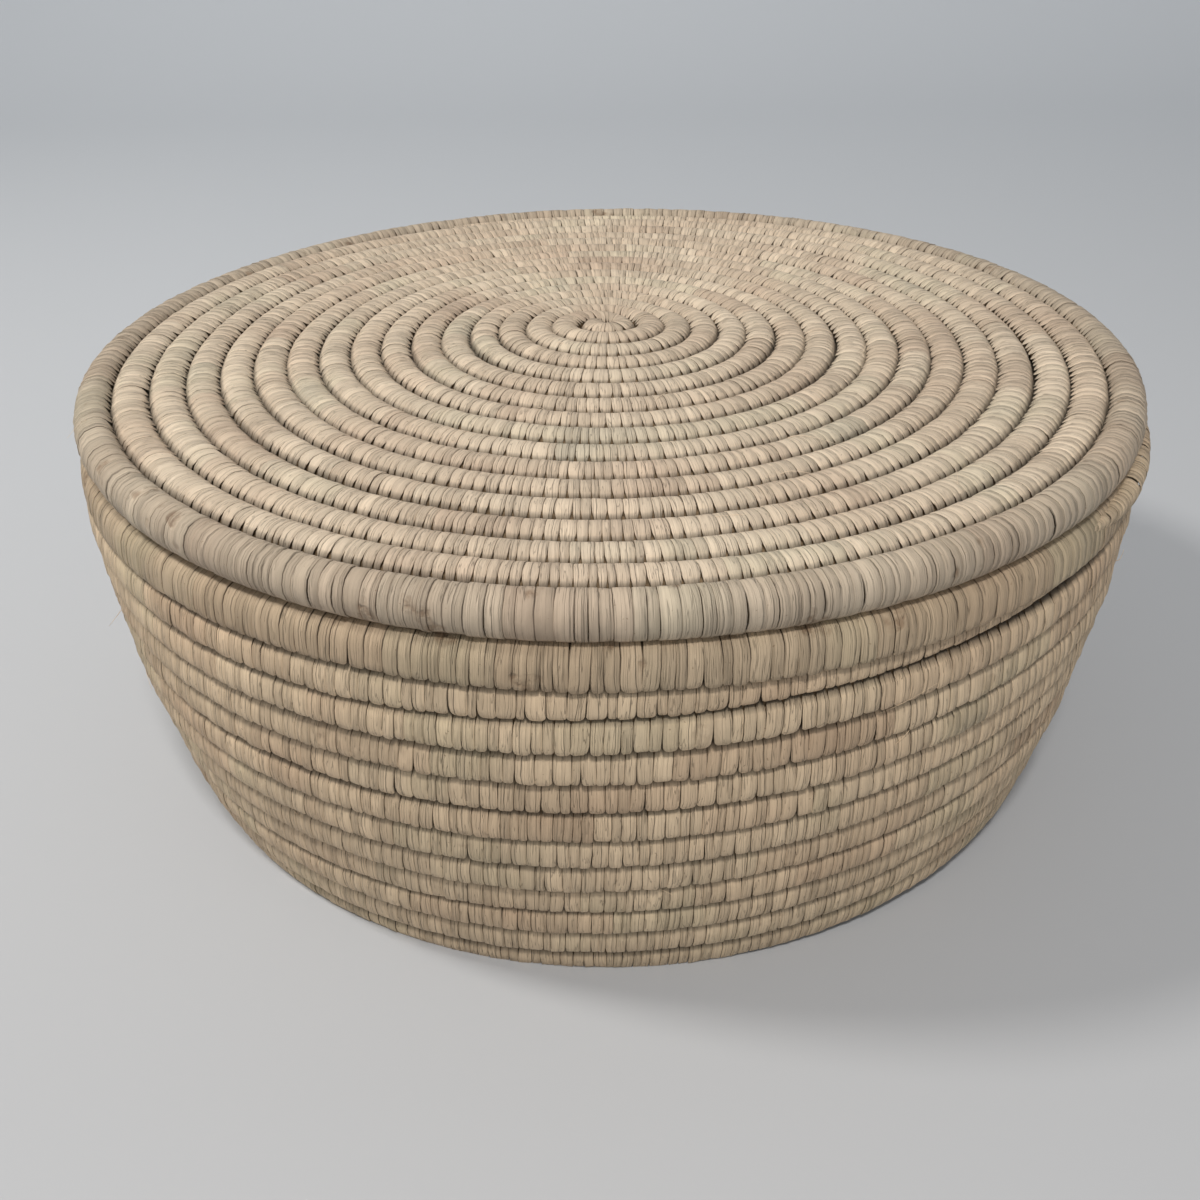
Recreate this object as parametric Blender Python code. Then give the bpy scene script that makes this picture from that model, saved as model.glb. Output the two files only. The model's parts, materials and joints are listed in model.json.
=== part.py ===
"""Coiled grass storage basket with a lift-off lid.

The basket is one long rope of dry grass, wound in rows and wrapped row by row in leaf strips that are
sewn into the row before.  Each row of wrapping is its own hollow sleeve, open at both ends, and the grass
core runs on through the sleeves.  The lid is made the same way and drops onto the bowl's rim, where a ring
sewn under it keeps it centred.
"""
import bpy
from math import cos, pi, sin

# ---- driving sizes, metres -------------------------------------------------------------------------
BOWL_FOOT_RADIUS = 0.1592    # outside of the bottom row
BOWL_MOUTH_RADIUS = 0.1768   # outside of the bowl's rim row
LID_SETBACK = 0.0018         # how far the lid's edge stands in from the bowl's
BOWL_HEIGHT = 0.1253         # floor to the top of the bowl's rim row
BOWL_ROWS = 12               # rows seen from the side, bottom row and rim row included
BASE_INNER_ROWS = 12         # flat rows inside the bottom row
BASE_PITCH = 0.01125         # row to row across the base
BASE_LIFT = 0.0010           # the inner base rows stand this far off the floor
COIL_WIDTH = 0.0110          # thickness of the wall, through one row
ROW_GAP = 0.0003             # clear space between rows that touch in use
LID_ROWS = 15                # lid rows inside the rim row
LID_OUTER_PITCH = 0.01129    # row to row beside the lid's rim
LID_PITCH_DROP = 0.00013     # how much narrower each row is than the next one out
LID_RIM_WIDTH = 0.0097
LID_RIM_HEIGHT = 0.0122
LID_DOME = 0.0088            # rise of the lid from its rim to its middle
ROW_SQUAT = 0.88             # height of a lid or base row over its width
RING_WIDTH = 0.0100          # locating ring, one row sewn under the lid
RING_HEIGHT = 0.0094
RING_CLEARANCE = 0.0025      # between the locating ring and the inside of the bowl's rim
CORE_SHARE = 0.78            # hollow of a sleeve over its outside
CORE_CLEARANCE = 0.0007      # how much smaller the core's corner radius is than the hollow's
END_GAP = 0.00015            # each sleeve stops this far short of the end of its row
FLANK = 0.55                 # width of a row's flat top and bottom over its full width
STEP_SHARE = 1.0 / 3.0       # share of each turn in which the coil steps over to the next row
CORNER_SQUEEZE = 0.29        # how much thinner the bottom row is where it turns up into the wall
CORNER_TUCK = 0.0018         # it stands out there by half the wall's thickness less this
BOWL_START = 0.0             # azimuth where each bowl row starts, radians
LID_START = 5.0 * pi / 6.0   # azimuth where each lid row starts
ROW_SEGMENTS = 24
SMALL_ROW_SEGMENTS = 12
SMALL_ROW_RADIUS = 0.055

STRAW = (0.62, 0.50, 0.34)
STRAW_WALL = (0.55, 0.43, 0.29)
GRASS = (0.33, 0.25, 0.15)


# ---- rows ------------------------------------------------------------------------------------------
class Row:
    """One turn of the coil: centre radius, centre height, half width and half height."""

    def __init__(self, radius, height, half_width, half_height):
        self.values = (radius, height, half_width, half_height)


def mix(a, b, t):
    return tuple(x + (y - x) * t for x, y in zip(a.values, b.values))


def step_over(f):
    """How far the coil has moved towards its next row at share f of the turn."""
    t = min(1.0, max(0.0, (f - (1.0 - STEP_SHARE)) / STEP_SHARE))
    return t, t * t * (3.0 - 2.0 * t)


def bowl_radius(z):
    """Outside radius of the bowl's wall: steep at the foot, upright at the mouth."""
    t = z / BOWL_HEIGHT
    return BOWL_FOOT_RADIUS + (BOWL_MOUTH_RADIUS - BOWL_FOOT_RADIUS) * (1.0 - (1.0 - t) ** 2.1)


def bowl_rows():
    pitch = BOWL_HEIGHT / BOWL_ROWS
    half = 0.5 * (pitch - ROW_GAP)
    foot = half
    wall = [
        Row(bowl_radius(pitch * i) - 0.5 * COIL_WIDTH, foot + i * pitch, 0.5 * COIL_WIDTH, half)
        for i in range(BOWL_ROWS)
    ]
    base_half = 0.5 * (BASE_PITCH - ROW_GAP)
    beside = wall[0].values[0] - 0.5 * COIL_WIDTH - ROW_GAP - base_half
    base = [
        Row(
            beside - BASE_PITCH * (BASE_INNER_ROWS - 1 - i),
            BASE_LIFT + ROW_SQUAT * base_half,
            base_half,
            ROW_SQUAT * base_half,
        )
        for i in range(BASE_INNER_ROWS)
    ]
    return base, wall[:-1], wall[-1]


def lid_radius():
    """Outside of the lid's rim row, just within the bowl's."""
    return BOWL_MOUTH_RADIUS - LID_SETBACK


def lid_edge(i):
    """Outer edge of the i-th lid row counted inwards from the rim."""
    first = lid_radius() - LID_RIM_WIDTH - ROW_GAP
    return first - LID_OUTER_PITCH * i + 0.5 * LID_PITCH_DROP * i * (i - 1)


def lid_height(radius):
    """Height of a lid row's centre."""
    x = radius / lid_edge(0)
    seat = BOWL_HEIGHT + ROW_GAP + 0.5 * LID_RIM_HEIGHT + 0.0008
    return seat + LID_DOME * (1.65 * (1.0 - x) - 0.65 * (1.0 - x * x))


def lid_rows():
    rows = []
    for i in reversed(range(LID_ROWS)):
        outer, inner = lid_edge(i), lid_edge(i + 1)
        half = 0.5 * (outer - inner - ROW_GAP)
        radius = 0.5 * (outer + inner)
        rows.append(Row(radius, lid_height(radius), half, ROW_SQUAT * half))
    rim = Row(
        lid_radius() - 0.5 * LID_RIM_WIDTH,
        BOWL_HEIGHT + ROW_GAP + 0.5 * LID_RIM_HEIGHT,
        0.5 * LID_RIM_WIDTH,
        0.5 * LID_RIM_HEIGHT,
    )
    return rows, rim


def locating_row(outer_lid_row, bowl_rim):
    inside = bowl_rim.values[0] - bowl_rim.values[2]
    under = outer_lid_row.values[1] - outer_lid_row.values[3] - ROW_GAP
    return Row(
        inside - RING_CLEARANCE - 0.5 * RING_WIDTH, under - 0.5 * RING_HEIGHT, 0.5 * RING_WIDTH, 0.5 * RING_HEIGHT
    )


# ---- stations along a row --------------------------------------------------------------------------
def plain(row, following):
    """The row, stepping over to the next one in the last share of the turn."""
    return lambda f: mix(row, following, step_over(f)[1]) if following else row.values


def corner(row, following):
    """The bottom row: pulled tight where it turns up to start the wall."""

    def at(f):
        t, s = step_over(f)
        r, z, w, h = mix(row, following, s)
        tight = 1.0 - CORNER_SQUEEZE * sin(pi * t)
        return r + (0.5 * COIL_WIDTH - CORNER_TUCK) * sin(pi * t), z, w * tight, h * tight

    return at


def thinned_upwards(row):
    """The last wall row: thinned out from below as the row under it steps up."""

    def at(f):
        t, s = step_over(f)
        r, z, w, h = row.values
        thin = h - (h + 0.5 * ROW_GAP) * s
        return r, z + h - thin, w * (1.0 - 0.45 * t), thin

    return at


def thinned_outwards(row):
    """The last lid row: thinned out from inside as the row within it steps out."""

    def at(f):
        t, s = step_over(f)
        r, z, w, h = row.values
        thin = w - (w + 0.5 * ROW_GAP) * s
        return r + w - thin, z, thin, h * (1.0 - 0.3 * t)

    return at


def shares(radius, first, last):
    """Shares of a turn at which sections stand, from first to last."""
    n = SMALL_ROW_SEGMENTS if radius < SMALL_ROW_RADIUS else ROW_SEGMENTS
    inside = [i / n for i in range(n + 1) if first + 0.2 / n < i / n < last - 0.2 / n]
    return [first] + inside + [last]


def point(start, f, r, z):
    a = start + 2.0 * pi * f
    return (r * cos(a), r * sin(a), z)


def six(start, f, section):
    r, z, w, h = section
    corners = ((w, 0.0), (FLANK * w, h), (-FLANK * w, h), (-w, 0.0), (-FLANK * w, -h), (FLANK * w, -h))
    return [point(start, f, r + x, z + y) for x, y in corners]


def three(start, f, section, inset):
    r, z, w, h = section
    a, b = CORE_SHARE * w - inset, CORE_SHARE * h - inset
    corners = ((0.0, b), (-0.866 * a, -0.5 * b), (0.866 * a, -0.5 * b))
    return [point(start, f, r + x, z + y) for x, y in corners]


# ---- solids ----------------------------------------------------------------------------------------
def add_piece(name, points, faces, colour, roughness, group):
    mesh = bpy.data.meshes.new(name)
    mesh.from_pydata(points, [], faces)
    mesh.update()
    for face in mesh.polygons:
        face.use_smooth = True
    material = bpy.data.materials.new(name)
    material.use_nodes = True
    shader = material.node_tree.nodes["Principled BSDF"]
    shader.inputs["Base Color"].default_value = (*colour, 1.0)
    shader.inputs["Roughness"].default_value = roughness
    shader.inputs["Metallic"].default_value = 0.0
    mesh.materials.append(material)
    piece = bpy.data.objects.new(name, mesh)
    bpy.context.scene.collection.objects.link(piece)
    piece.parent = group
    return piece


def strips(rings, size, closed=False):
    """Faces between neighbouring rings of points, facing away from the ring's middle."""
    faces = []
    count = rings if closed else rings - 1
    for i in range(count):
        a, b = i * size, ((i + 1) % rings) * size
        for j in range(size):
            k = (j + 1) % size
            faces.append((a + j, a + k, b + k, b + j))
    return faces


def wrap(name, start, section, radius, colour, group, last=1.0):
    """A sleeve of leaf strips round one row, open at both ends."""
    near = END_GAP / (2.0 * pi * radius)
    stations = shares(radius, near, last - near)
    points = []
    for f in stations:
        points += six(start, f, section(f))
    inner = len(points)
    for f in stations:
        points += three(start, f, section(f), 0.0)
    n = len(stations)
    faces = strips(n, 6)
    faces += [tuple(inner + v for v in reversed(face)) for face in strips(n, 3)]
    cap = (
        ("o0", "o1", "t2"), ("o1", "t0", "t2"), ("o1", "o2", "t0"), ("o2", "t1", "t0"), ("o2", "o3", "t1"),
        ("o3", "o4", "t1"), ("o4", "t2", "t1"), ("o4", "o5", "t2"), ("o5", "o0", "t2"),
    )
    for end in (0, n - 1):
        for tri in cap:
            index = [end * 6 + int(v[1]) if v[0] == "o" else inner + end * 3 + int(v[1]) for v in tri]
            faces.append(tuple(index if end else reversed(index)))
    faces = [tuple(reversed(face)) for face in faces]
    add_piece(name, points, faces, colour, 0.75, group)


def core(name, start, turns, group):
    """The grass bundle through a run of rows.  turns holds (section, radius, last share)."""
    points = []
    for number, (section, radius, last) in enumerate(turns):
        first = 0.0 if number else END_GAP / (2.0 * pi * radius)
        for f in shares(radius, first, last)[(1 if number else 0):]:
            points += three(start, f, section(f), CORE_CLEARANCE)
    n = len(points) // 3
    faces = strips(n, 3) + [(0, 1, 2)[::-1], (3 * n - 3, 3 * n - 2, 3 * n - 1)]
    add_piece(name, points, [tuple(reversed(f)) for f in faces], GRASS, 0.9, group)


def ring_core(name, start, row, group):
    """The grass bundle inside a single closed row."""
    points = []
    for i in range(ROW_SEGMENTS):
        points += three(start, i / ROW_SEGMENTS, row.values, CORE_CLEARANCE)
    faces = strips(ROW_SEGMENTS, 3, closed=True)
    add_piece(name, points, [tuple(reversed(f)) for f in faces], GRASS, 0.9, group)


def start_knot(name, start, first_row, colour, group):
    """The knot the coil starts from: a small disc whose tail runs out into the first row."""
    r, z, w, h = first_row.values
    n = SMALL_ROW_SEGMENTS
    radius = r - w - ROW_GAP
    points = [(0.0, 0.0, z + h), (0.0, 0.0, z - h)]
    for i in range(n + 1):
        reach = radius + (2.0 * w + ROW_GAP) * step_over(i / n)[1]
        shoulder = reach - (1.0 - FLANK) * w
        points += [point(start, i / n, shoulder, z + h), point(start, i / n, reach, z),
                   point(start, i / n, shoulder, z - h)]
    faces = []
    for i in range(n):
        a, b = 2 + 3 * i, 5 + 3 * i
        faces += [(0, a, b), (1, b + 2, a + 2), (a, a + 1, b + 1, b), (a + 1, a + 2, b + 2, b + 1)]
    tail = 2 + 3 * n
    faces += [(0, tail, 2), (2, tail, tail + 1), (2, tail + 1, 3), (3, tail + 1, tail + 2), (3, tail + 2, 4),
              (1, 4, tail + 2)]
    add_piece(name, points, faces, colour, 0.75, group)


# ---- build -----------------------------------------------------------------------------------------
def main():
    for old in list(bpy.data.objects):
        bpy.data.objects.remove(old, do_unlink=True)
    groups = {}
    for label in ("bowl", "lid"):
        groups[label] = bpy.data.objects.new(f"{label}_axis", None)
        bpy.context.scene.collection.objects.link(groups[label])

    # bowl: flat base rows, the bottom row that turns up, then the wall and its rim
    base, wall, bowl_rim = bowl_rows()
    bowl = groups["bowl"]
    start_knot("base_start_knot", BOWL_START, base[0], STRAW_WALL, bowl)
    chain = base + wall
    taper_end = 1.0 - 3.0 * STEP_SHARE / 8.0
    core_end = 1.0 - 5.0 * STEP_SHARE / 8.0
    turns = []
    for i, row in enumerate(chain):
        last = i == len(chain) - 1
        if i < len(base):
            name = f"base_row_{i + 1:02d}_wrap"
        elif i == len(base):
            name = "bottom_row_wrap"
        else:
            name = f"wall_row_{i - len(base):02d}_wrap"
        if last:
            section = thinned_upwards(row)
        elif i == len(base):
            section = corner(row, chain[i + 1])
        else:
            section = plain(row, chain[i + 1])
        radius = row.values[0]
        wrap(name, BOWL_START, section, radius, STRAW_WALL, bowl, taper_end if last else 1.0)
        turns.append((section, radius, core_end if last else 1.0))
    core("bowl_grass_core", BOWL_START, turns, bowl)
    wrap("bowl_rim_wrap", BOWL_START, plain(bowl_rim, None), bowl_rim.values[0], STRAW_WALL, bowl)
    ring_core("bowl_rim_grass_core", BOWL_START, bowl_rim, bowl)

    # lid: start knot, flat rows rising to the middle, rim row, locating ring underneath
    rows, lid_rim = lid_rows()
    lid = groups["lid"]
    start_knot("lid_start_knot", LID_START, rows[0], STRAW, lid)
    turns = []
    for i, row in enumerate(rows):
        last = i == len(rows) - 1
        section = thinned_outwards(row) if last else plain(row, rows[i + 1])
        radius = row.values[0]
        wrap(f"lid_row_{i + 1:02d}_wrap", LID_START, section, radius, STRAW, lid, taper_end if last else 1.0)
        turns.append((section, radius, core_end if last else 1.0))
    core("lid_grass_core", LID_START, turns, lid)
    wrap("lid_rim_wrap", LID_START, plain(lid_rim, None), lid_rim.values[0], STRAW, lid)
    ring_core("lid_rim_grass_core", LID_START, lid_rim, lid)
    ring = locating_row(rows[-1], bowl_rim)
    wrap("locating_ring_wrap", LID_START, plain(ring, None), ring.values[0], STRAW, lid)
    ring_core("locating_ring_grass_core", LID_START, ring, lid)


main()
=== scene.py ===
"""Looks of the coiled basket: leaf strips wrapped and sewn round a grass rope, row by row."""

import json
from math import atan2, cos, pi, sin

import bpy
import numpy as np
from mathutils import Matrix, Vector

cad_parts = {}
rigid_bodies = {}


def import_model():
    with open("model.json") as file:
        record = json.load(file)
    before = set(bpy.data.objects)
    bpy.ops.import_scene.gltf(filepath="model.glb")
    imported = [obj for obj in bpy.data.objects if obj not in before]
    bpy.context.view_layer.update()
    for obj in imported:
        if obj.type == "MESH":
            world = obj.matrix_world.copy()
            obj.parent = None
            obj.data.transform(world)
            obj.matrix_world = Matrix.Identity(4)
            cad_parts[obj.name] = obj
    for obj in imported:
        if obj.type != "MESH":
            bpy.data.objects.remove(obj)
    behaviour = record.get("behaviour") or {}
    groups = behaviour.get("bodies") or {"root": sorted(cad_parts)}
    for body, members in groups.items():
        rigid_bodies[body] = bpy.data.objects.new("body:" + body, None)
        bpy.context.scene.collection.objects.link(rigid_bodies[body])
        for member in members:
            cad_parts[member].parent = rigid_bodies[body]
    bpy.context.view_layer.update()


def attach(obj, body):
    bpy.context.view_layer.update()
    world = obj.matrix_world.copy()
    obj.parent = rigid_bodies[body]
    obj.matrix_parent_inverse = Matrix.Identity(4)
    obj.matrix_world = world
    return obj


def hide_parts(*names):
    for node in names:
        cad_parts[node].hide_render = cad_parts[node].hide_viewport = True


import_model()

# ---- sizes of the rope and its rows, metres, as the solids have them ---------------------------------
BOWL_FOOT_RADIUS = 0.1592
BOWL_MOUTH_RADIUS = 0.1768
LID_SETBACK = 0.0018
LID_RADIUS = BOWL_MOUTH_RADIUS - LID_SETBACK
BOWL_HEIGHT = 0.1253
BOWL_ROWS = 12
WALL_FLARE = 2.1
CORNER_TILT = 0.36 * pi
LEANING_ROWS = 8
LEAN = 0.3
BASE_INNER_ROWS = 12
BASE_PITCH = 0.01125
BASE_LIFT = 0.0010
COIL_WIDTH = 0.0110
ROW_GAP = 0.0003
LID_ROWS = 15
LID_OUTER_PITCH = 0.01129
LID_PITCH_DROP = 0.00013
LID_RIM_WIDTH = 0.0097
LID_RIM_HEIGHT = 0.0122
LID_SEAT_LIFT = 0.0008
LID_DOME = 0.0088
DOME_SLOPE = 1.65
DOME_CURVE = 0.65
ROW_SQUAT = 0.88
RING_WIDTH = 0.0100
RING_HEIGHT = 0.0094
RING_CLEARANCE = 0.0025
STEP_SHARE = 1.0 / 3.0
BOWL_START = 0.0
LID_START = 5.0 * pi / 6.0
ROPE_END = 0.9

# ---- unevenness of the hand work, metres and shares, only in the looks -------------------------------
POINTS_PER_TURN = 96
SMALL_TURN = 0.04
PULLS_PER_TURN = 7
MOST_TURNS = 40
UNEVEN_RADIUS = 0.00022
UNEVEN_HEIGHT = 0.00020
UNEVEN_SIZE = 0.022
LID_SADDLE = 0.0012
LID_OVAL = 0.12
OVAL_REACH = 0.022
ROPE_SHARE = 0.74
ROPE_SIDES = 8

# ---- widths of the leaf strips along the rope, metres ------------------------------------------------
BASE_STRIP = 0.0034
WALL_STRIP = 0.0030
WALL_STRIP_GAIN = 0.0006
BOWL_RIM_STRIP = 0.0038
LID_FIRST_ROWS = 3
LID_FIRST_STRIP = 0.0029
LID_STRIP = 0.0033
LID_RIM_STRIP = 0.0035
RING_STRIP = 0.0042
KNOT_STRIP = 0.0026
COIL_END_STRIP = 0.0022

chance = np.random.default_rng(41)


# ---- rows: radius, height, half size towards the newer row, half size outwards, tilt -----------------
def bowl_radius(z):
    t = z / BOWL_HEIGHT
    return BOWL_FOOT_RADIUS + (BOWL_MOUTH_RADIUS - BOWL_FOOT_RADIUS) * (1.0 - (1.0 - t) ** WALL_FLARE)


def bowl_chain():
    """Base rows, the bottom row and wall rows up to the rim, as one run."""
    pitch = BOWL_HEIGHT / BOWL_ROWS
    base_half = 0.5 * BASE_PITCH
    foot = bowl_radius(0.0) - 0.5 * COIL_WIDTH
    beside = foot - 0.5 * COIL_WIDTH - base_half - 0.5 * ROW_GAP
    chain = [
        (beside - BASE_PITCH * (BASE_INNER_ROWS - 1 - i), BASE_LIFT + ROW_SQUAT * base_half,
         base_half, ROW_SQUAT * base_half, 0.0)
        for i in range(BASE_INNER_ROWS)
    ]
    for i in range(BOWL_ROWS):
        if i == 0:
            tilt = CORNER_TILT
        else:
            tilt = 0.5 * pi - LEAN * (1.0 - i / LEANING_ROWS) * (i < LEANING_ROWS)
        chain.append((bowl_radius(pitch * i) - 0.5 * COIL_WIDTH, (i + 0.5) * pitch,
                      0.5 * pitch, 0.5 * COIL_WIDTH, tilt))
    return chain


def lid_edge(i):
    first = LID_RADIUS - LID_RIM_WIDTH - ROW_GAP
    return first - LID_OUTER_PITCH * i + 0.5 * LID_PITCH_DROP * i * (i - 1)


def lid_height(radius):
    x = radius / lid_edge(0)
    seat = BOWL_HEIGHT + ROW_GAP + 0.5 * LID_RIM_HEIGHT + LID_SEAT_LIFT
    return seat + LID_DOME * (DOME_SLOPE * (1.0 - x) - DOME_CURVE * (1.0 - x * x))


def lid_chain():
    chain = []
    for i in reversed(range(LID_ROWS)):
        outer, inner = lid_edge(i), lid_edge(i + 1)
        radius, half = 0.5 * (outer + inner), 0.5 * (outer - inner)
        fall = lid_height(radius + half) - lid_height(radius - half)
        chain.append((radius, lid_height(radius), half, ROW_SQUAT * half, atan2(fall, 2.0 * half)))
    return chain


LID_RIM = (LID_RADIUS - 0.5 * LID_RIM_WIDTH, BOWL_HEIGHT + ROW_GAP + 0.5 * LID_RIM_HEIGHT,
           0.5 * LID_RIM_WIDTH, 0.5 * LID_RIM_HEIGHT, 0.0)


def locating_row(outer_lid_row, bowl_rim):
    """The ring under the lid, just inside the bowl's rim."""
    inside = bowl_rim[0] - bowl_rim[3]
    under = outer_lid_row[1] - outer_lid_row[3] - ROW_GAP
    return (inside - RING_CLEARANCE - 0.5 * RING_WIDTH, under - 0.5 * RING_HEIGHT,
            0.5 * RING_HEIGHT, 0.5 * RING_WIDTH, -0.5 * pi)


def step_over(f):
    """How far along the step to the next row a share of a turn is, straight and eased."""
    t = np.clip((f - (1.0 - STEP_SHARE)) / STEP_SHARE, 0.0, 1.0)
    return t, t * t * (3.0 - 2.0 * t)


def wander(closed, size):
    """A smooth uneven line along the rope, as a hand pulls it: one value for each share of a turn."""
    knots = chance.normal(0.0, size, PULLS_PER_TURN * (1 if closed else MOST_TURNS) + 4)

    def at(x):
        u = np.asarray(x) * PULLS_PER_TURN
        i = np.floor(u).astype(int)
        t = u - i
        t = t * t * (3.0 - 2.0 * t)
        n = PULLS_PER_TURN if closed else len(knots)
        return knots[i % n] * (1.0 - t) + knots[(i + 1) % n] * t

    return at


class RopeLine:
    """Where a row runs, and which way its newer neighbour and its outside lie at each point."""

    def __init__(self, start, side, closed=False, saddle=0.0, oval=0.0):
        self.start, self.side, self.saddle, self.oval = start, side, saddle, oval
        sizes = (UNEVEN_RADIUS, UNEVEN_HEIGHT, UNEVEN_SIZE, UNEVEN_SIZE)
        self.drift = [wander(closed, size) for size in sizes]

    def lay(self, number, row, following, last=1.0, thin=None):
        """Places along one turn, with the half size towards the newer row and the one outwards."""
        n = max(12, int(POINTS_PER_TURN * last * (1.0 if row[0] > SMALL_TURN else 0.6)))
        f = np.linspace(0.0, last, n + 1)
        t, s = step_over(f)
        r, z, along, out, tilt = (
            (a + (b - a) * s) for a, b in zip(row, following or row)
        )
        if thin:
            r, z, along, out, tilt = thin(row, t, s)
        x = number + f
        r = r + self.drift[0](x)
        z = z + self.drift[1](x)
        along = along * (1.0 + self.drift[2](x))
        out = out * (1.0 + self.drift[3](x))
        a = self.start + 2.0 * pi * f
        # the lid's edge stands a little higher at two sides, and its first turns are a little oval
        z = z + self.saddle * 0.5 * (1.0 + np.cos(2.0 * a)) * (r / LID_RADIUS) ** 2
        stretch = 1.0 + self.oval * np.exp(-((r / OVAL_REACH) ** 2))
        radial = np.stack([np.cos(a), np.sin(a), 0 * a], 1)
        up = np.array([0.0, 0.0, 1.0])
        place = radial * r[:, None] * np.stack([stretch, 1.0 / stretch, 1 + 0 * a], 1) + up * z[:, None]
        ahead = radial * np.cos(tilt)[:, None] + up * np.sin(tilt)[:, None]
        outer = self.side * (up * np.cos(tilt)[:, None] - radial * np.sin(tilt)[:, None])
        return place, ahead * along[:, None], outer * out[:, None]


def thin_from_below(row, t, s):
    """The end of the rope in the wall, thinned out under the rim."""
    left = row[2] * (1.0 - s)
    return row[0] + 0 * s, row[1] + row[2] - left, left, row[3] * (1.0 - 0.45 * t), row[4] + 0 * s


def thin_from_inside(row, t, s):
    """The end of the rope in the lid, thinned out beside the rim."""
    left = row[2] * (1.0 - s)
    return row[0] + row[2] - left, row[1] + 0 * s, left, row[3] * (1.0 - 0.3 * t), row[4] + 0 * s


# ---- leaf strips -------------------------------------------------------------------------------------
# stations round one side of the rope, from the tooth that bites into the older row to the end that the
# newer row's stitches pinch: place towards the newer row, height outwards, half width
WALL_TOOTH = [(-1.31, 0.92, 0.10), (-1.24, 1.00, 0.30), (-1.14, 1.05, 0.43),
              (-0.99, 1.09, 0.49), (-0.70, 1.10, 0.50), (-0.26, 1.07, 0.50)]
FLAT_TOOTH = [(-1.16, 0.42, 0.06), (-1.08, 0.52, 0.20), (-0.98, 0.64, 0.37),
              (-0.82, 0.82, 0.47), (-0.52, 0.99, 0.50), (-0.16, 1.06, 0.50)]
WALL_PINCH = [(0.16, 0.98, 0.50), (0.42, 0.82, 0.475), (0.68, 0.60, 0.38), (0.98, 0.24, 0.28)]
FLAT_PINCH = [(0.20, 1.04, 0.50), (0.48, 0.93, 0.485), (0.74, 0.70, 0.41), (0.95, 0.24, 0.29)]
LID_ROUND = [(0.15, 1.02, 0.50), (0.62, 0.91, 0.50), (1.00, 0.62, 0.50), (1.20, 0.20, 0.50)]
RIM_ROUND = [(0.15, 1.02, 0.50), (0.58, 0.84, 0.50), (0.88, 0.54, 0.50), (1.01, 0.18, 0.50)]
STRIP_COLUMNS = (-1.0, -0.90, 0.90, 1.0)
STRIP_KINDS = 16
# painted shadow: the leaf's colour is darkened near 0.5 of the way round, where a newer row covers it and
# shades it; a rim's strips stay clear of that
RIM_REACH = 0.3


def is_pinched(upper):
    return upper in (WALL_PINCH, FLAT_PINCH)


def lengthways(v, upper):
    """Share of the way round the strip, out and back again on a rim, which no newer row covers."""
    return v if is_pinched(upper) else RIM_REACH * (1.0 - abs(2.0 * v - 1.0))


def leaf_strip(name, home, lower, upper, lean, blunt, drop, pinch, twist, proud):
    """One strip round the rope: x across the strip, y towards the newer row, z outwards."""
    half = []
    for i, (m, n, w) in enumerate(lower):
        if i < 3:
            m, w = m - drop * (3 - i) / 3.0, min(0.5, w + blunt * (3 - i) / 3.0)
        half.append((m, n, w))
    for i, (m, n, w) in enumerate(upper):
        half.append((m, n, w - pinch * max(0, i - 1) if is_pinched(upper) else w))
    ring = half + [(m, -n, w) for m, n, w in reversed(half)]
    points, spots = [], []
    for i, (m, n, w) in enumerate(ring):
        shift = lean * (abs(m) > 0.6) * (abs(m) - 0.6) * (1.0 if m < 0.0 else -0.5)
        for c in STRIP_COLUMNS:
            # the strip's long edges are turned down a little
            sink = (1.0 - 0.06 * (abs(c) > 0.9)) * proud + twist * c
            points.append((c * w + shift, m * (sink if m > -0.8 else 1.0), n * sink))
            spots.append((0.5 + c * w, lengthways(i / (len(ring) - 1.0), upper)))
    k = len(STRIP_COLUMNS)
    faces = []
    for i in range(len(ring) - 1):
        for j in range(k - 1):
            a = i * k + j
            faces.append((a, a + 1, a + k + 1, a + k))
    mesh = bpy.data.meshes.new(name)
    mesh.from_pydata(points, [], faces)
    uv = mesh.uv_layers.new(name="leaf")
    for loop in mesh.loops:
        uv.data[loop.index].uv = spots[loop.vertex_index]
    for face in mesh.polygons:
        face.use_smooth = True
    strip = bpy.data.objects.new(name, mesh)
    home.objects.link(strip)
    return strip


def strip_set(name, lower, upper):
    """A collection of strips that differ a little in their teeth, their pinch and how proud they stand."""
    home = bpy.data.collections.new(name)
    bpy.context.scene.collection.children.link(home)
    for i in range(STRIP_KINDS):
        leaf_strip(f"{name}_{i:02d}", home, lower, upper,
                   lean=chance.uniform(-0.16, 0.16),
                   blunt=chance.choice([0.0, 0.0, 0.0, 0.04, 0.10]),
                   drop=chance.uniform(-0.06, 0.06),
                   pinch=chance.uniform(-0.03, 0.03),
                   twist=chance.normal(0.0, 0.011),
                   proud=chance.uniform(0.988, 1.016))
    return home


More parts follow.
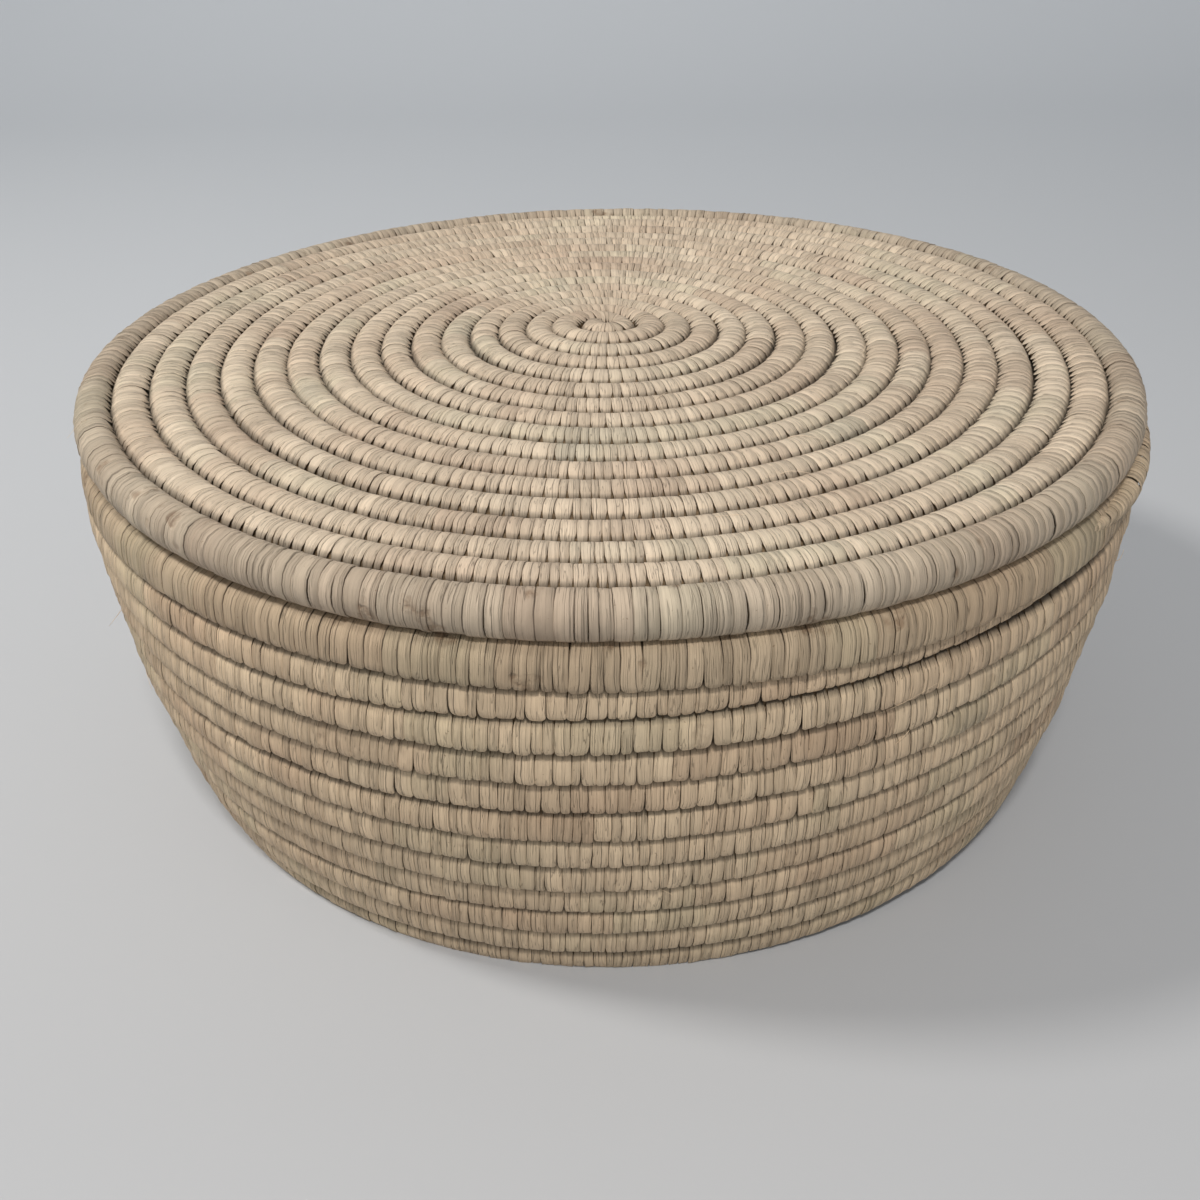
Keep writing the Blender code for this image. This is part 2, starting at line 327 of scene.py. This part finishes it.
# ---- the wrapping, as a node tree ----------------------------------------------------------------------
class Bench:
    """Short hand for building a node tree."""

    def __init__(self, tree):
        self.tree = tree

    def add(self, kind, settings=None, **links):
        n = self.tree.nodes.new(kind)
        for key, value in (settings or {}).items():
            setattr(n, key, value)
        for key, value in links.items():
            self.feed(self.into(n, key), value)
        return n

    def into(self, n, key):
        if key.startswith("i") and key[1:].isdigit():
            return n.inputs[int(key[1:])]
        label = key.replace("_", " ").lower()
        return next(s for s in n.inputs if s.enabled and s.name.lower() == label)

    def out(self, n, label=None):
        if not isinstance(n, bpy.types.Node):
            return n
        return next(s for s in n.outputs if s.enabled and (label is None or s.name == label))

    def feed(self, socket, value):
        if isinstance(value, (bpy.types.Node, bpy.types.NodeSocket)):
            self.tree.links.new(self.out(value), socket)
        else:
            socket.default_value = value

    def math(self, operation, a, b=0.0, c=None):
        links = {"i0": a, "i1": b}
        if c is not None:
            links["i2"] = c
        return self.add("ShaderNodeMath", {"operation": operation}, **links)

    def vector(self, operation, a, b=None, scale=None):
        n = self.add("ShaderNodeVectorMath", {"operation": operation}, i0=a)
        if b is not None:
            self.feed(n.inputs[1], b)
        if scale is not None:
            self.feed(n.inputs["Scale"], scale)
        return n


def wrapping_tree():
    tree = bpy.data.node_groups.new("leaf wrapping", "GeometryNodeTree")
    face = tree.interface
    face.new_socket(name="Row line", in_out="INPUT", socket_type="NodeSocketGeometry")
    for label, kind, value in (
        ("Leaf strips", "NodeSocketCollection", None), ("Kinds of strip", "NodeSocketInt", STRIP_KINDS),
        ("Strip width", "NodeSocketFloat", 0.004), ("Width spread", "NodeSocketFloat", 0.4),
        ("Cover", "NodeSocketFloat", 0.995), ("Slant", "NodeSocketFloat", 0.00018),
        ("Lean", "NodeSocketFloat", 0.0002), ("Wobble", "NodeSocketFloat", 0.0005),
        ("Lift", "NodeSocketFloat", 0.02), ("Leaf run", "NodeSocketFloat", 0.03),
        ("Scars", "NodeSocketFloat", 0.0), ("Seed", "NodeSocketInt", 1), ("Leaf", "NodeSocketMaterial", None),
    ):
        socket = face.new_socket(name=label, in_out="INPUT", socket_type=kind)
        if value is not None:
            socket.default_value = value
    face.new_socket(name="Wrapped row", in_out="OUTPUT", socket_type="NodeSocketGeometry")
    b = Bench(tree)
    given = tree.nodes.new("NodeGroupInput")
    want = given.outputs

    def any_value(low, high, extra, kind="FLOAT", by=None):
        seed = b.math("ADD", want["Seed"], extra)
        links = {"min": low, "max": high, "seed": seed}
        if by is not None:
            links["id"] = by
        return b.add("FunctionNodeRandomValue", {"data_type": kind}, **links)

    line = b.add("GeometryNodeMeshToCurve", mesh=want["Row line"])
    length = b.add("GeometryNodeCurveLength", curve=line)
    count = b.math("MAXIMUM", b.math("ROUND", b.math("DIVIDE", length, want["Strip width"])), 1.0)
    dots = b.add("GeometryNodePoints", count=count)
    spread = want["Width spread"]
    share = any_value(b.math("SUBTRACT", 1.0, spread), b.math("ADD", 1.0, spread), 0.0)
    sums = b.add("GeometryNodeAccumulateField", {"data_type": "FLOAT", "domain": "POINT"}, value=share)
    scale = b.math("DIVIDE", length, b.out(sums, "Total"))
    middle = b.math("ADD", b.out(sums, "Trailing"), b.math("MULTIPLY", share, 0.5))
    along = b.math("MULTIPLY", middle, scale)
    width = b.math("MULTIPLY", b.math("MULTIPLY", share, scale), want["Cover"])
    # what is stored on the dots passes on to each strip
    group = b.math("FLOOR", b.math("DIVIDE", along, want["Leaf run"]))
    slant = want["Slant"]
    kept = dots
    for label, value in (
        ("wide", width), ("far", along), ("tone", any_value(0.0, 1.0, 11.0)),
        ("batch", any_value(0.0, 1.0, 23.0, by=group)),
        ("slant", b.math("ADD", want["Lean"], any_value(b.math("MULTIPLY", slant, -1.0), slant, 37.0))),
        ("scar", want["Scars"]),
        ("lift", any_value(b.math("SUBTRACT", 1.0, want["Lift"]), b.math("ADD", 1.0, want["Lift"]), 53.0)),
    ):
        kept = b.add("GeometryNodeStoreNamedAttribute", {"data_type": "FLOAT", "domain": "POINT"},
                     geometry=kept, name=label, value=value)

    def named(label, kind="FLOAT"):
        return b.add("GeometryNodeInputNamedAttribute", {"data_type": kind}, name=label)

    spot = b.add("ShaderNodeCombineXYZ", x=named("far"))
    placed = b.add("GeometryNodeSetPosition", geometry=kept, position=spot)
    kinds = b.add("GeometryNodeCollectionInfo", collection=want["Leaf strips"],
                  separate_children=True, reset_children=True)
    which = any_value(0, b.math("SUBTRACT", want["Kinds of strip"], 1.0), 71.0, "INT")
    size = b.add("ShaderNodeCombineXYZ", x=named("wide"), y=named("lift"), z=named("lift"))
    strips = b.add("GeometryNodeInstanceOnPoints", points=placed, instance=kinds, pick_instance=True,
                   instance_index=which, scale=size)
    real = b.add("GeometryNodeRealizeInstances", geometry=strips)
    # the straight run of strips is now bent onto the row's line
    parts = b.add("ShaderNodeSeparateXYZ", vector=b.add("GeometryNodeInputPosition"))
    x = b.math("ADD", b.out(parts, "X"), b.math("MULTIPLY", named("slant"), b.out(parts, "Y")))
    # the cracks between strips wander a little
    grain = b.add("ShaderNodeCombineXYZ", x=b.math("MULTIPLY", b.out(parts, "X"), 170.0),
                  y=b.math("MULTIPLY", b.out(parts, "Y"), 1.1), z=b.out(parts, "Z"))
    sway = b.add("ShaderNodeTexNoise", vector=grain, scale=1.0, detail=1.0)
    x = b.math("ADD", x, b.math("MULTIPLY", b.math("SUBTRACT", b.out(sway, "Fac"), 0.5), want["Wobble"]))
    x = b.math("MINIMUM", b.math("MAXIMUM", x, 0.0), length)
    reads = {}
    for label in ("ahead", "outer"):
        reads[label] = b.add("GeometryNodeSampleCurve", {"data_type": "FLOAT_VECTOR", "mode": "LENGTH"},
                             curves=line, value=named(label, "FLOAT_VECTOR"), length=x)
    reach = b.vector("SCALE", b.out(reads["ahead"], "Value"), scale=b.out(parts, "Y"))
    rise = b.vector("SCALE", b.out(reads["outer"], "Value"), scale=b.out(parts, "Z"))
    there = b.vector("ADD", b.vector("ADD", b.out(reads["ahead"], "Position"), reach), rise)
    there = b.vector("MAXIMUM", there, (-9.0, -9.0, 0.0))
    bent = b.add("GeometryNodeSetPosition", geometry=real, position=there)
    dressed = b.add("GeometryNodeSetMaterial", geometry=bent, material=want["Leaf"])
    end = tree.nodes.new("NodeGroupOutput")
    tree.links.new(b.out(dressed), end.inputs[0])
    return tree


# ---- materials -----------------------------------------------------------------------------------------
def start_material(name, roughness, specular):
    material = bpy.data.materials.new(name)
    material.use_nodes = True
    shader = material.node_tree.nodes["Principled BSDF"]
    shader.inputs["Roughness"].default_value = roughness
    shader.inputs["Specular IOR Level"].default_value = specular
    return material, Bench(material.node_tree), shader


def ramp(b, value, stops):
    n = b.add("ShaderNodeValToRGB", fac=value)
    marks = n.color_ramp.elements
    while len(marks) < len(stops):
        marks.new(0.5)
    for mark, (place, colour) in zip(marks, stops):
        mark.position = place
        mark.color = (*colour, 1.0)
    return n


def span(b, value, low, high, to_low, to_high):
    return b.add("ShaderNodeMapRange", value=value, from_min=low, from_max=high,
                 to_min=to_low, to_max=to_high)


def noise(b, vector, scale, detail=2.0, roughness=0.5):
    n = b.add("ShaderNodeTexNoise", vector=vector, scale=scale, detail=detail, roughness=roughness)
    return b.out(n, "Fac")


def tint(b, colour, factor):
    """colour times a grey factor."""
    grey = b.add("ShaderNodeCombineColor", red=factor, green=factor, blue=factor)
    return b.add("ShaderNodeMix", {"data_type": "RGBA", "blend_type": "MULTIPLY"}, i0=1.0, i6=colour, i7=grey)


def fraction(b, value, times):
    return b.math("FRACT", b.math("MULTIPLY", value, times))


def dry_leaf(name, tone_of, depth, shade):
    """Split palm leaf: straw, cream, pinkish tan and grey-green runs, fine ribs along each strip.

    depth is how dark the painted shade in the cracks between strips gets; shade is where round the strip the
    painted shadow under the newer row's teeth ends and starts, and how dark it gets.
    """
    material, b, shader = start_material(name, 0.6, 0.28)
    uv = b.add("ShaderNodeUVMap", {"uv_map": "leaf"})
    cut = b.add("ShaderNodeSeparateXYZ", vector=uv)
    tone = b.out(b.add("ShaderNodeAttribute", {"attribute_name": "tone"}), "Fac")
    batch = b.out(b.add("ShaderNodeAttribute", {"attribute_name": "batch"}), "Fac")
    scar = b.out(b.add("ShaderNodeAttribute", {"attribute_name": "scar"}), "Fac")
    body = b.out(b.add("ShaderNodeTexCoord"), "Object")
    u, v = b.out(cut, "X"), b.out(cut, "Y")

    def along(across, around, shift):
        """A place on the leaf that is different on every strip."""
        return b.add("ShaderNodeCombineXYZ",
                     x=b.math("MULTIPLY_ADD", u, across, b.math("MULTIPLY", tone, 311.0 + shift)),
                     y=b.math("MULTIPLY_ADD", v, around, b.math("MULTIPLY", tone, 43.0 + shift)),
                     z=b.math("MULTIPLY", batch, 30.0))

    ribs = noise(b, along(11.0, 1.6, 0.0), 1.0, 4.0, 0.72)
    # thin dark lines where the leaf is pleated, and a fold along some of the strips
    pleats = b.math("ABSOLUTE", b.math("SUBTRACT", noise(b, along(5.0, 2.2, 7.0), 1.0, 1.0), 0.5))
    pleat = span(b, pleats, 0.003, 0.014, 1.0, 0.0)
    sway = b.math("MULTIPLY", b.math("SUBTRACT", noise(b, along(0.0, 5.0, 19.0), 1.0, 1.0), 0.5), 0.22)
    fold_at = b.math("ADD", b.math("MULTIPLY_ADD", fraction(b, tone, 7.31), 0.5, 0.25), sway)
    beyond = b.math("SUBTRACT", u, fold_at)
    folded = b.math("GREATER_THAN", fraction(b, tone, 13.7), 0.45)
    fold = b.math("MULTIPLY", span(b, b.math("ABSOLUTE", beyond), 0.006, 0.024, 1.0, 0.0), folded)
    lines = b.math("MAXIMUM", b.math("MULTIPLY", pleat, 0.65), fold)

    patch = noise(b, body, 30.0, 2.0)
    cloud = noise(b, body, 6.0, 1.0)
    pick = b.math("ADD", b.math("MULTIPLY", batch, 0.34), b.math("MULTIPLY", patch, 0.66))
    colour = b.out(ramp(b, pick, [
        (0.22, (0.500, 0.385, 0.286)), (0.34, (0.560, 0.446, 0.334)),
        (0.48, (0.590, 0.482, 0.363)), (0.60, (0.615, 0.510, 0.388)),
        (0.70, (0.580, 0.494, 0.368)), (0.80, (0.505, 0.440, 0.338)),
    ]), "Color")
    colour = b.add("ShaderNodeMix", {"data_type": "RGBA", "blend_type": "MULTIPLY"}, i0=1.0, i6=colour,
                   i7=(*tone_of, 1.0))
    # one strip to the next, ribs, slow drift, lines, painted shade in the cracks, painted shadow under the
    # newer row, rims darkened by wear and painted shade
    for value, low, high, at_low, at_high in (
        (tone, 0.0, 1.0, 0.90, 1.10), (ribs, 0.28, 0.72, 0.86, 1.13), (cloud, 0.3, 0.7, 0.95, 1.04),
        (lines, 0.0, 1.0, 1.0, 0.52),
        # painted shade in the cracks between strips: darker towards each strip's long edges
        (b.math("ABSOLUTE", b.math("SUBTRACT", u, 0.5)), 0.450, 0.495, 1.0, depth),
        # painted shadow under the newer row's teeth: darker near 0.5 of the way round
        (b.math("ABSOLUTE", b.math("SUBTRACT", v, 0.5)), *shade, 1.0),
        # darker leaf on the rims and a little on the walls: partly worn leaf, partly painted shade for the
        # lid's shadow on the bowl's rim
        (scar, 0.0, 2.0, 1.0, 0.62),
    ):
        colour = tint(b, b.out(colour, "Result"), span(b, value, low, high, at_low, at_high))
    specks = noise(b, body, 900.0, 1.0)
    flecks = b.math("MULTIPLY", span(b, noise(b, body, 75.0, 2.0), 0.655, 0.70, 0.0, 1.0),
                    b.math("MULTIPLY", b.math("MINIMUM", scar, 1.0),
                           span(b, noise(b, body, 420.0, 2.0), 0.40, 0.62, 0.15, 1.0)))
    brown = b.math("MAXIMUM", span(b, specks, 0.75, 0.80, 0.0, 0.5), b.math("MULTIPLY", flecks, 0.62))
    spotted = b.add("ShaderNodeMix", {"data_type": "RGBA"}, i0=brown,
                    i6=b.out(colour, "Result"), i7=(0.225, 0.135, 0.075, 1.0))
    b.feed(shader.inputs["Base Color"], b.out(spotted, "Result"))
    b.feed(shader.inputs["Roughness"], b.out(span(b, ribs, 0.2, 0.8, 0.54, 0.72)))
    height = b.math("SUBTRACT", b.math("MULTIPLY", ribs, 0.8), b.math("MULTIPLY", lines, 0.55))
    height = b.math("SUBTRACT", height, b.math("MULTIPLY", flecks, 0.8))
    step = b.math("MULTIPLY", span(b, beyond, -0.02, 0.02, 0.0, 0.45), folded)
    grain = b.add("ShaderNodeBump", strength=1.0, distance=0.00055, height=b.math("ADD", height, step))
    b.feed(shader.inputs["Normal"], grain)
    return material


def dry_grass(name):
    """The bundle of grass stems seen in the gaps between strips, dark brown: partly the grass's own colour,
    partly painted shade for the deep gaps.
    """
    material, b, shader = start_material(name, 0.85, 0.2)
    body = b.out(b.add("ShaderNodeTexCoord"), "Object")
    fine = noise(b, body, 700.0, 2.0)
    # dark browns: partly painted shade for the gaps between strips
    colour = b.out(ramp(b, fine, [(0.3, (0.13, 0.085, 0.048)), (0.7, (0.34, 0.24, 0.14))]), "Color")
    b.feed(shader.inputs["Base Color"], colour)
    grain = b.add("ShaderNodeBump", strength=0.6, distance=0.0004, height=fine)
    b.feed(shader.inputs["Normal"], grain)
    return material


# ---- making the pieces -----------------------------------------------------------------------------------
def row_line(name, laid):
    place, ahead, outer = laid
    mesh = bpy.data.meshes.new(name)
    mesh.from_pydata([tuple(p) for p in place], [(i, i + 1) for i in range(len(place) - 1)], [])
    for label, values in (("ahead", ahead), ("outer", outer)):
        layer = mesh.attributes.new(label, "FLOAT_VECTOR", "POINT")
        layer.data.foreach_set("vector", values.astype(np.float32).ravel())
    line = bpy.data.objects.new(name, mesh)
    bpy.context.scene.collection.objects.link(line)
    return line


def wrap_row(name, node, body, laid, strips, leaf, slot, seed, **sizes):
    """Strips round one row, as a plain mesh that stands for the row's sleeve."""
    line = row_line(name, laid)
    modifier = line.modifiers.new("wrapping", "NODES")
    modifier.node_group = wrapping
    values = {"Leaf strips": strips, "Seed": seed, "Leaf": leaf, **sizes}
    for item in wrapping.interface.items_tree:
        if item.in_out == "INPUT" and item.name in values:
            modifier[item.identifier] = values[item.name]
    graph = bpy.context.evaluated_depsgraph_get()
    mesh = bpy.data.meshes.new_from_object(line.evaluated_get(graph))
    line.modifiers.remove(modifier)
    bpy.data.objects.remove(line)
    for label in ("wide", "far", "slant", "lift"):
        if label in mesh.attributes:
            mesh.attributes.remove(mesh.attributes[label])
    mesh.name = name
    piece = bpy.data.objects.new(name, mesh)
    bpy.context.scene.collection.objects.link(piece)
    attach(piece, body)
    if node:
        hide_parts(node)
    face_outwards(mesh, laid)


def rope(name, node, body, runs, closed=False):
    """The grass bundle through a run of rows, with its ends closed."""
    sides = ROPE_SIDES
    place, ahead, outer = (
        np.concatenate([r[k][(1 if i else 0):] for i, r in enumerate(runs)]) for k in range(3)
    )
    ahead, outer = ahead * ROPE_SHARE, outer * ROPE_SHARE
    if closed:
        place, ahead, outer = place[:-1], ahead[:-1], outer[:-1]
    turn = np.arange(sides) * 2.0 * pi / sides
    points = (place[:, None] + ahead[:, None] * np.cos(turn)[None, :, None]
              + outer[:, None] * np.sin(turn)[None, :, None]).reshape(-1, 3)
    points[:, 2] = np.maximum(points[:, 2], 0.0)
    n = len(place)
    faces = []
    for i in range(n if closed else n - 1):
        a, c = i * sides, ((i + 1) % n) * sides
        for j in range(sides):
            k = (j + 1) % sides
            faces.append((a + j, c + j, c + k, a + k))
    if not closed:
        faces += [tuple(range(sides)), tuple(reversed(range((n - 1) * sides, n * sides)))]
    mesh = bpy.data.meshes.new(name)
    mesh.from_pydata([tuple(p) for p in points], [], faces)
    for face in mesh.polygons:
        face.use_smooth = True
    mesh.materials.append(grass)
    # turned the right way out whichever way the row's axes run
    mesh.update()
    first = mesh.polygons[sides // 2]
    if (Vector(place[0]) - first.center).dot(first.normal) > 0:
        mesh.flip_normals()
    piece = bpy.data.objects.new(name, mesh)
    bpy.context.scene.collection.objects.link(piece)
    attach(piece, body)
    if node:
        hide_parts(node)


def face_outwards(mesh, laid):
    """Turns every strip's faces away from the row's line."""
    centre = Vector(laid[0][len(laid[0]) // 2])
    nearest = min(mesh.polygons, key=lambda face: (face.center - centre).length)
    if (nearest.center - centre).dot(nearest.normal) < 0:
        mesh.flip_normals()


lid_leaf = dry_leaf("lid_leaf_strip", (1.21, 1.20, 1.18), 0.34, (0.045, 0.105, 0.28))
bowl_leaf = dry_leaf("bowl_leaf_strip", (1.26, 1.18, 1.05), 0.24, (0.084, 0.165, 0.14))
grass = dry_grass("grass_bundle")
wall_strips = strip_set("wall_strip", WALL_TOOTH, WALL_PINCH)
flat_strips = strip_set("flat_strip", FLAT_TOOTH, FLAT_PINCH)
bowl_rim_strips = strip_set("bowl_rim_strip", WALL_TOOTH, RIM_ROUND)
lid_rim_strips = strip_set("lid_rim_strip", FLAT_TOOTH, LID_ROUND)
wrapping = wrapping_tree()


def dress(node, body, laid, strips, seed, width, **sizes):
    """Strips for one row, in the colours of its body."""
    leaf = lid_leaf if body == "lid" else bowl_leaf
    wrap_row(node.replace("wrap", "leaf"), node, body, laid, strips, leaf, f"{body}_leaf_strip", seed,
             **{"Strip width": width, "Width spread": 0.42, "Lift": 0.016, **sizes})


# bowl
bowl_rows = bowl_chain()
bowl_line = RopeLine(BOWL_START, -1.0)
bowl_runs = []
for i, row in enumerate(bowl_rows[:-1]):
    last = i == len(bowl_rows) - 2
    up_wall = (i - BASE_INNER_ROWS) / (BOWL_ROWS - 2)
    if up_wall < 0.0:
        node = f"base_row_{i + 1:02d}_wrap"
    elif up_wall == 0.0:
        node = "bottom_row_wrap"
    else:
        node = f"wall_row_{i - BASE_INNER_ROWS:02d}_wrap"
    laid = bowl_line.lay(i, row, bowl_rows[i + 1], last=ROPE_END if last else 1.0,
                         thin=thin_from_below if last else None)
    bowl_runs.append(laid)
    if up_wall < 0.0:
        dress(node, "bowl", laid, flat_strips, 100 + i, BASE_STRIP)
    else:
        width = WALL_STRIP + WALL_STRIP_GAIN * up_wall
        dress(node, "bowl", laid, wall_strips, 100 + i, width, Scars=0.35)
rim_line = RopeLine(BOWL_START, -1.0, closed=True)
bowl_rim = rim_line.lay(0, bowl_rows[-1], None)
# this value also darkens the rim's strips: partly wear, partly painted shade for the lid's shadow
dress("bowl_rim_wrap", "bowl", bowl_rim, bowl_rim_strips, 140, BOWL_RIM_STRIP, Scars=1.5)
rope("bowl_grass", "bowl_grass_core", "bowl", bowl_runs)
rope("bowl_rim_grass", "bowl_rim_grass_core", "bowl", [bowl_rim], closed=True)

# lid
lid_rows = lid_chain()
lid_line = RopeLine(LID_START, 1.0, saddle=LID_SADDLE, oval=LID_OVAL)
lid_runs = []
for i, row in enumerate(lid_rows):
    last = i == len(lid_rows) - 1
    laid = lid_line.lay(i, row, None if last else lid_rows[i + 1], last=ROPE_END if last else 1.0,
                        thin=thin_from_inside if last else None)
    lid_runs.append(laid)
    width = LID_FIRST_STRIP if i < LID_FIRST_ROWS else LID_STRIP
    dress(f"lid_row_{i + 1:02d}_wrap", "lid", laid, flat_strips, 200 + i, width)
lid_rim_line = RopeLine(LID_START, 1.0, closed=True, saddle=LID_SADDLE)
lid_rim = lid_rim_line.lay(0, LID_RIM, None)
dress("lid_rim_wrap", "lid", lid_rim, lid_rim_strips, 240, LID_RIM_STRIP, Scars=1.2)
ring_line = RopeLine(LID_START, 1.0, closed=True)
ring = ring_line.lay(0, locating_row(lid_rows[-1], bowl_rows[-1]), None)
dress("locating_ring_wrap", "lid", ring, lid_rim_strips, 241, RING_STRIP, Scars=0.4)
rope("lid_grass", "lid_grass_core", "lid", lid_runs)
rope("lid_rim_grass", "lid_rim_grass_core", "lid", [lid_rim], closed=True)
rope("locating_ring_grass", "locating_ring_grass_core", "lid", [ring], closed=True)


# start knots: one tight turn that closes the middle
def start_knot(node, body, first_row, line, seed):
    inner = first_row[0] - 2.0 * first_row[2]
    laid = line.lay(MOST_TURNS - 1, (inner, *first_row[1:]), first_row)
    dress(node, body, laid, flat_strips, seed, KNOT_STRIP, Lift=0.03, Cover=1.0)
    rope(node + "_grass", None, body, [laid])


start_knot("base_start_knot", "bowl", bowl_rows[0], bowl_line, 300)
start_knot("lid_start_knot", "lid", lid_rows[0], lid_line, 301)


def coil_end():
    """The end of the rope, thinned out on the shoulder of the bowl's rim."""
    start, sweep = -0.76, 1.25
    radius, height, high, wide = 0.1748, 0.1226, 0.0026, 0.0034
    lean_out, lean_up = 0.35, 0.937
    f = np.linspace(0.0, 1.0, 61)
    a = start + sweep * f
    full = np.minimum(1.0, 6.0 * f) ** 0.6 * np.minimum(1.0, 2.2 * (1.0 - f)) ** 0.5
    radial = np.stack([np.cos(a), np.sin(a), 0.0 * a], 1)
    up = np.array([0.0, 0.0, 1.0])
    place = radial * (radius + 0.0010 * full)[:, None] + up * (height - 0.0004 * full)[:, None]
    ahead = (lean_out * radial + lean_up * up) * (high * full)[:, None]
    outer = (lean_up * radial - lean_out * up) * (wide * full)[:, None]
    laid = (place, ahead, outer)
    wrap_row("bowl_coil_end_leaf", None, "bowl", laid, bowl_rim_strips, bowl_leaf, "bowl_leaf_strip", 150,
             **{"Strip width": COIL_END_STRIP, "Width spread": 0.45, "Slant": 0.0007, "Lift": 0.05,
                "Scars": 0.5})


coil_end()


def stray_fibres(name, body, rows, count, leaf):
    """Loose ends of fibre that stand off the rows."""
    steps, corners = 6, (0.0, 2.1, 4.2)
    points, faces = [], []
    for _ in range(count):
        place, ahead, outer = rows[chance.integers(len(rows))]
        i = int(chance.integers(len(place) - 1))
        run = (place[i + 1] - place[i]) / np.linalg.norm(place[i + 1] - place[i])
        out = outer[i] / np.linalg.norm(outer[i])
        up = ahead[i] / np.linalg.norm(ahead[i])
        root = place[i] + 0.93 * outer[i] + chance.uniform(-0.9, 0.7) * ahead[i]
        way = (run * chance.choice([-1.0, 1.0]) + out * chance.uniform(0.15, 0.6)
               + up * chance.uniform(-0.7, 0.5))
        bend = chance.normal(0.0, 0.5, 3) - 0.35 * out
        long, thick = chance.uniform(0.003, 0.011), chance.uniform(0.00007, 0.00016)
        base = len(points)
        for j in range(steps + 1):
            t = j / steps
            spot = root + long * (way * t + bend * t * t)
            for turn in corners:
                points.append(spot + thick * (1.0 - 0.6 * t) * (out * cos(turn) + up * sin(turn)))
        for j in range(steps):
            for k in range(3):
                a, c = base + 3 * j + k, base + 3 * j + (k + 1) % 3
                faces.append((a, c, c + 3, a + 3))
    mesh = bpy.data.meshes.new(name)
    mesh.from_pydata([tuple(q) for q in points], [], faces)
    for label, value in (("tone", 0.85), ("batch", 0.6)):
        mesh.attributes.new(label, "FLOAT", "POINT").data.foreach_set("value", [value] * len(points))
    uv = mesh.uv_layers.new(name="leaf")
    uv.data.foreach_set("uv", [0.5, 0.25] * len(mesh.loops))
    for face in mesh.polygons:
        face.use_smooth = True
    mesh.materials.append(leaf)
    piece = bpy.data.objects.new(name, mesh)
    bpy.context.scene.collection.objects.link(piece)
    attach(piece, body)


stray_fibres("bowl_fibres", "bowl", bowl_runs[BASE_INNER_ROWS + 1:] + [bowl_rim], 50, bowl_leaf)
stray_fibres("lid_fibres", "lid", lid_runs + [lid_rim], 36, lid_leaf)

# the loose strips have served as patterns and are cleared away
for home in (wall_strips, flat_strips, bowl_rim_strips, lid_rim_strips):
    for strip in list(home.objects):
        bpy.data.objects.remove(strip)
    bpy.data.collections.remove(home)


# ---- floor, light and camera ----------------------------------------------------------------------------
def floor_sweep():
    """A pale floor that sweeps up into a backdrop."""
    bend_at, bend, steps, top, half_width = 1.1, 0.9, 16, 3.5, 4.0
    line = [(-3.0, 0.0), (bend_at, 0.0)]
    for i in range(1, steps + 1):
        a = 0.5 * pi * i / steps
        line.append((bend_at + bend * sin(a), bend * (1.0 - cos(a))))
    line.append((bend_at + bend, top))
    points = [(x, y, z) for y, z in line for x in (-half_width, half_width)]
    faces = [(2 * i, 2 * i + 1, 2 * i + 3, 2 * i + 2) for i in range(len(line) - 1)]
    mesh = bpy.data.meshes.new("floor")
    mesh.from_pydata(points, [], faces)
    for face in mesh.polygons:
        face.use_smooth = True
    material, b, shader = start_material("floor", 0.6, 0.3)
    back = b.out(b.add("ShaderNodeSeparateXYZ", vector=b.out(b.add("ShaderNodeTexCoord"), "Object")), "Y")
    shade = ramp(b, span(b, back, -0.2, 1.5, 0.0, 1.0),
                 [(0.0, (0.485, 0.492, 0.502)), (1.0, (0.83, 0.86, 0.89))])
    b.feed(shader.inputs["Base Color"], b.out(shade, "Color"))
    mesh.materials.append(material)
    floor = bpy.data.objects.new("floor", mesh)
    bpy.context.scene.collection.objects.link(floor)


def lamp(name, place, target, size, power, colour):
    data = bpy.data.lights.new(name, "AREA")
    data.shape = "DISK"
    data.size, data.energy, data.color = size, power, colour
    lit = bpy.data.objects.new(name, data)
    lit.location = place
    lit.rotation_euler = (Vector(target) - Vector(place)).to_track_quat("-Z", "Y").to_euler()
    bpy.context.scene.collection.objects.link(lit)


def camera():
    """The view from the front and above."""
    place = (-0.00445, -0.43128, 0.29431)
    pitch, yaw, roll = 0.5462, 0.0006, -0.0161
    ahead = Vector((sin(yaw) * cos(pitch), cos(yaw) * cos(pitch), -sin(pitch)))
    right = Vector((cos(yaw), -sin(yaw), 0.0))
    up = right.cross(ahead)
    right, up = cos(roll) * right + sin(roll) * up, -sin(roll) * right + cos(roll) * up
    data = bpy.data.cameras.new("camera")
    data.lens, data.sensor_width = 39.0, 36.0
    data.clip_start, data.clip_end = 0.01, 20.0
    cam = bpy.data.objects.new("camera", data)
    turn = Matrix((right, up, -ahead)).transposed().to_4x4()
    cam.matrix_world = Matrix.Translation(place) @ turn
    bpy.context.scene.collection.objects.link(cam)
    bpy.context.scene.camera = cam


floor_sweep()
BASKET_MIDDLE = (0.0, 0.0, 0.1)
lamp("key", (-0.90, -0.08, 1.30), BASKET_MIDDLE, 0.26, 10.6, (1.0, 0.975, 0.94))
lamp("overhead", (0.02, -0.80, 1.32), BASKET_MIDDLE, 0.20, 9.8, (1.0, 0.98, 0.96))
lamp("front", (0.05, -1.80, 0.80), BASKET_MIDDLE, 0.9, 3.4, (1.0, 0.98, 0.96))
world = bpy.data.worlds.new("room")
world.use_nodes = True
sky = world.node_tree.nodes["Background"]
sky.inputs["Color"].default_value = (0.94, 0.965, 1.0, 1.0)
sky.inputs["Strength"].default_value = 0.31
bpy.context.scene.world = world
bpy.context.scene.view_settings.view_transform = "Standard"
camera()
